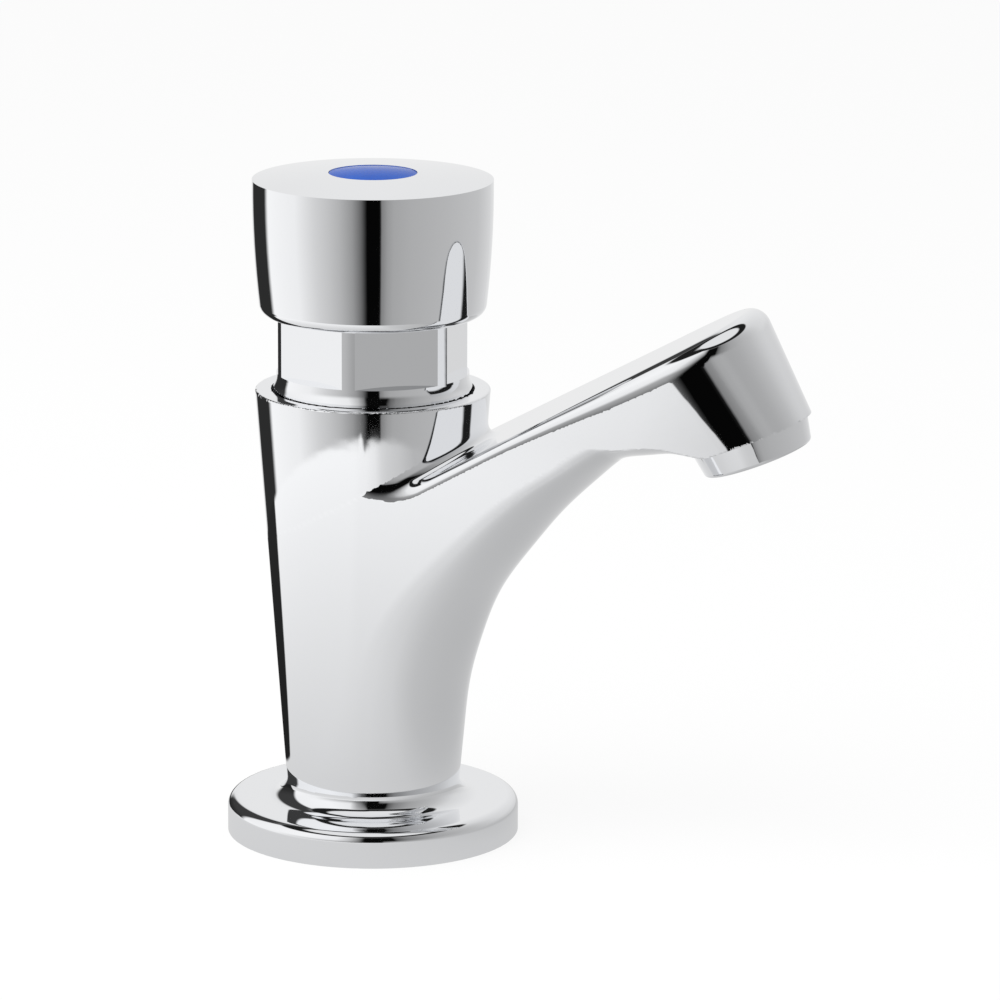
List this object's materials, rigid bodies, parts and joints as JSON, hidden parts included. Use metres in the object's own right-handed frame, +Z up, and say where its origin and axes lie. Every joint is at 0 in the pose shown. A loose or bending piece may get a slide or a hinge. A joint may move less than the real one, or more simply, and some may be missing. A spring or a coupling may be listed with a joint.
{
  "type": "push timed tap",
  "caption": "Self-closing basin tap with a round foot, tapered column, rising spout with a leaning nozzle, hexagonal bonnet and a deep round push cap.",
  "frame": {"origin": "centre of the foot's underside, where the tail goes down through the basin", "axes": "+Z up along the column, +X out along the spout, +Y to the left seen from behind the tap"},
  "size_m": [0.0963, 0.048, 0.1553],
  "materials": {
    "chrome": "polished",
    "brass": "machined",
    "rubber": "matt",
    "white_plastic": "moulded",
    "acetal": "moulded",
    "blue_plastic": "gloss",
    "steel": "drawn"
  },
  "bodies": {
    "root": {"tap_body": "chrome", "bonnet_nut": "chrome", "outlet_housing": "chrome", "threaded_tail": "brass", "back_nut": "brass", "valve_seat": "brass", "tail_o_ring": "rubber", "base_seal": "rubber", "clamp_washer": "rubber", "bonnet_o_ring": "rubber", "rod_seal": "rubber", "cylinder_o_ring": "rubber", "seat_o_ring": "rubber", "outlet_washer": "rubber", "tophat_washer": "white_plastic", "flow_straightener": "white_plastic", "flow_regulator": "white_plastic", "timing_cylinder": "acetal", "guide_bush": "acetal", "seal_retainer": "acetal", "return_spring": "steel", "inlet_strainer": "steel", "outlet_screen": "steel"},
    "plunger": {"piston": "acetal", "piston_lip_seal": "rubber", "metering_pin": "steel"},
    "button": {"push_cap": "chrome", "index_disc": "blue_plastic", "cap_screw": "steel", "push_rod": "steel", "upper_rod_clip": "steel", "lower_rod_clip": "steel", "valve_washer": "rubber", "valve_holder": "brass", "valve_nut": "brass"}
  },
  "joints": [
    {"name": "button_push", "type": "slide", "parent": "root", "child": "plunger", "axis": [0, 0, -1], "range_m": [0, 0.008], "stiffness_N_per_m": 1200, "springref_m": -0.01, "deforming": ["return_spring"]},
    {"name": "button_spin", "type": "hinge", "parent": "plunger", "child": "button", "pos_m": [0, 0, 0.0615], "axis": [0, 0, 1], "continuous": true}
  ]
}
